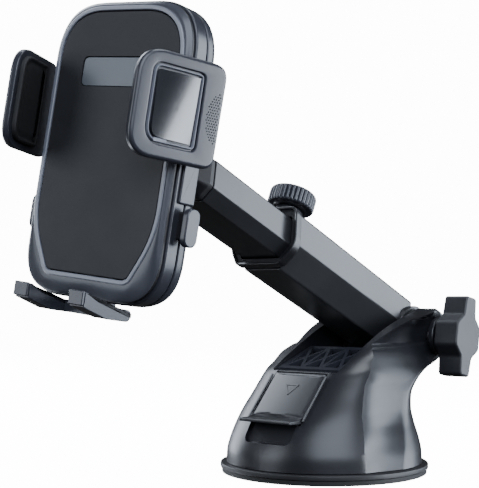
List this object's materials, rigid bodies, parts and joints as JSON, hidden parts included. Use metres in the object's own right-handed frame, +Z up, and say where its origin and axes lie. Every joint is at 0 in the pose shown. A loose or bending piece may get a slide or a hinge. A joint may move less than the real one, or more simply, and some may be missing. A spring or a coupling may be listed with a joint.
{
  "type": "dashboard phone mount",
  "caption": "Suction base with forked dome, telescopic arm and ball-jointed phone cradle with coupled jaws, support hooks and release buttons.",
  "frame": {"origin": "centre of the suction pad's underside", "axes": "+Z up from the dashboard; the suction lever and the arm lean towards -Y; the wing knob is on +X"},
  "size_m": [0.0846, 0.199, 0.1685],
  "materials": {
    "gloss_black": "glossy near-black moulded plastic",
    "satin_slate": "satin dark slate moulded plastic",
    "soft_charcoal": "matte charcoal silicone pad",
    "soft_black": "matte black soft plastic",
    "rim_grey": "polished dark grey rim",
    "steel": "turned steel",
    "brass": "plain"
  },
  "bodies": {
    "base": {"suction_pad": "soft_black", "rim_ring": "gloss_black", "dome_housing": "gloss_black", "fork_lattice": "gloss_black", "guide_spider": "satin_slate", "lever_pin": "steel", "captive_nut": "steel", "friction_washer_left": "soft_black", "friction_washer_right": "soft_black"},
    "stem": {"pull_stem": "satin_slate"},
    "lever": {"suction_lever": "gloss_black", "lever_cam": "satin_slate"},
    "knob": {"wing_knob": "satin_slate", "knob_bolt": "steel", "bolt_washer": "soft_black"},
    "arm": {"outer_arm": "satin_slate", "arm_collar": "gloss_black"},
    "lock": {"lock_knob": "satin_slate", "lock_screw": "steel"},
    "slider": {"inner_arm": "satin_slate", "inner_arm_tail": "soft_black", "arm_end_block": "gloss_black", "ball_stud": "steel"},
    "liner": {"ball_liner": "soft_black"},
    "socket": {"ball_socket": "gloss_black"},
    "nut": {"lock_nut": "satin_slate"},
    "cradle": {"front_bezel": "rim_grey", "cradle_pad": "soft_charcoal", "window_strip": "gloss_black", "mid_band": "rim_grey", "front_shell": "satin_slate", "back_shell": "satin_slate", "pinion_axle": "steel", "case_screw_1": "steel", "case_screw_2": "steel", "case_screw_3": "steel", "case_screw_4": "steel"},
    "pinion": {"pinion_gear": "brass"},
    "foot": {"foot_bracket": "satin_slate", "foot_hook_left": "satin_slate", "foot_hook_right": "satin_slate"},
    "jaw_left": {"jaw_plate_left": "gloss_black", "jaw_panel_left": "gloss_black", "jaw_trim_left": "rim_grey", "jaw_pad_left": "soft_black", "jaw_rack_left": "satin_slate"},
    "button_left": {"release_cap_left": "satin_slate", "release_slider_left": "soft_black"},
    "jaw_right": {"jaw_plate_right": "gloss_black", "jaw_panel_right": "gloss_black", "jaw_trim_right": "rim_grey", "jaw_pad_right": "soft_black", "jaw_rack_right": "satin_slate"},
    "button_right": {"release_cap_right": "satin_slate", "release_slider_right": "soft_black"}
  },
  "joints": [
    {"name": "lever_hinge", "type": "hinge", "parent": "base", "child": "lever", "pos_m": [0, -0.0137, 0.0375], "axis": [-1, 0, 0], "range_deg": [0, 70]},
    {"name": "stem_lift", "type": "slide", "parent": "base", "child": "stem", "axis": [0, 0, 1], "range_m": [-0.003, 0]},
    {"name": "knob_turn", "type": "hinge", "parent": "base", "child": "knob", "pos_m": [0, 0.044, 0.0532], "axis": [1, 0, 0], "continuous": true},
    {"name": "arm_tilt", "type": "hinge", "parent": "base", "child": "arm", "pos_m": [0, 0.044, 0.0532], "axis": [-1, 0, 0], "range_deg": [-10, 95]},
    {"name": "lock_turn", "type": "hinge", "parent": "arm", "child": "lock", "pos_m": [0, -0.02086, 0.10412], "axis": [0, 0.4083, 0.9128], "continuous": true},
    {"name": "arm_slide", "type": "slide", "parent": "arm", "child": "slider", "axis": [0, -0.9128, 0.4083], "range_m": [-0.036, 0.015]},
    {"name": "ball_pan", "type": "hinge", "parent": "slider", "child": "liner", "pos_m": [0, -0.09353, 0.118], "axis": [0, 0, 1], "range_deg": [-20, 15]},
    {"name": "ball_tilt", "type": "hinge", "parent": "liner", "child": "socket", "pos_m": [0, -0.09353, 0.118], "axis": [1, 0, 0], "range_deg": [-30, 8]},
    {"name": "cradle_turn", "type": "hinge", "parent": "socket", "child": "cradle", "pos_m": [0, -0.09353, 0.118], "axis": [-0.1306, 0.9881, -0.0812], "range_deg": [-90, 90]},
    {"name": "nut_turn", "type": "hinge", "parent": "socket", "child": "nut", "pos_m": [0, -0.09353, 0.118], "axis": [-0.1306, 0.9881, -0.0812], "continuous": true},
    {"name": "jaw_right_slide", "type": "slide", "parent": "cradle", "child": "jaw_right", "axis": [0.9851, 0.1201, -0.1235], "range_m": [0, 0.015]},
    {"name": "jaw_left_slide", "type": "slide", "parent": "cradle", "child": "jaw_left", "axis": [-0.9851, -0.1201, 0.1235], "range_m": [0, 0.015]},
    {"name": "pinion_turn", "type": "hinge", "parent": "cradle", "child": "pinion", "pos_m": [0.00344, -0.10917, 0.13026], "axis": [-0.1306, 0.9881, -0.0812], "range_deg": [0, 180]},
    {"name": "foot_slide", "type": "slide", "parent": "cradle", "child": "foot", "axis": [-0.1123, -0.0962, -0.989], "range_m": [0, 0.012]},
    {"name": "button_left_press", "type": "slide", "parent": "cradle", "child": "button_left", "axis": [0.9851, 0.1201, -0.1235], "range_m": [0, 0.0018], "stiffness_N_per_m": 400, "springref_m": -0.0004},
    {"name": "button_right_press", "type": "slide", "parent": "cradle", "child": "button_right", "axis": [-0.9851, -0.1201, 0.1235], "range_m": [0, 0.0018], "stiffness_N_per_m": 400, "springref_m": -0.0004}
  ],
  "couplings": [
    {"joint": "stem_lift", "follows": "lever_hinge", "m_per_rad": -0.002374},
    {"joint": "jaw_left_slide", "follows": "jaw_right_slide", "ratio": 1},
    {"joint": "pinion_turn", "follows": "jaw_right_slide", "rad_per_m": 200}
  ]
}
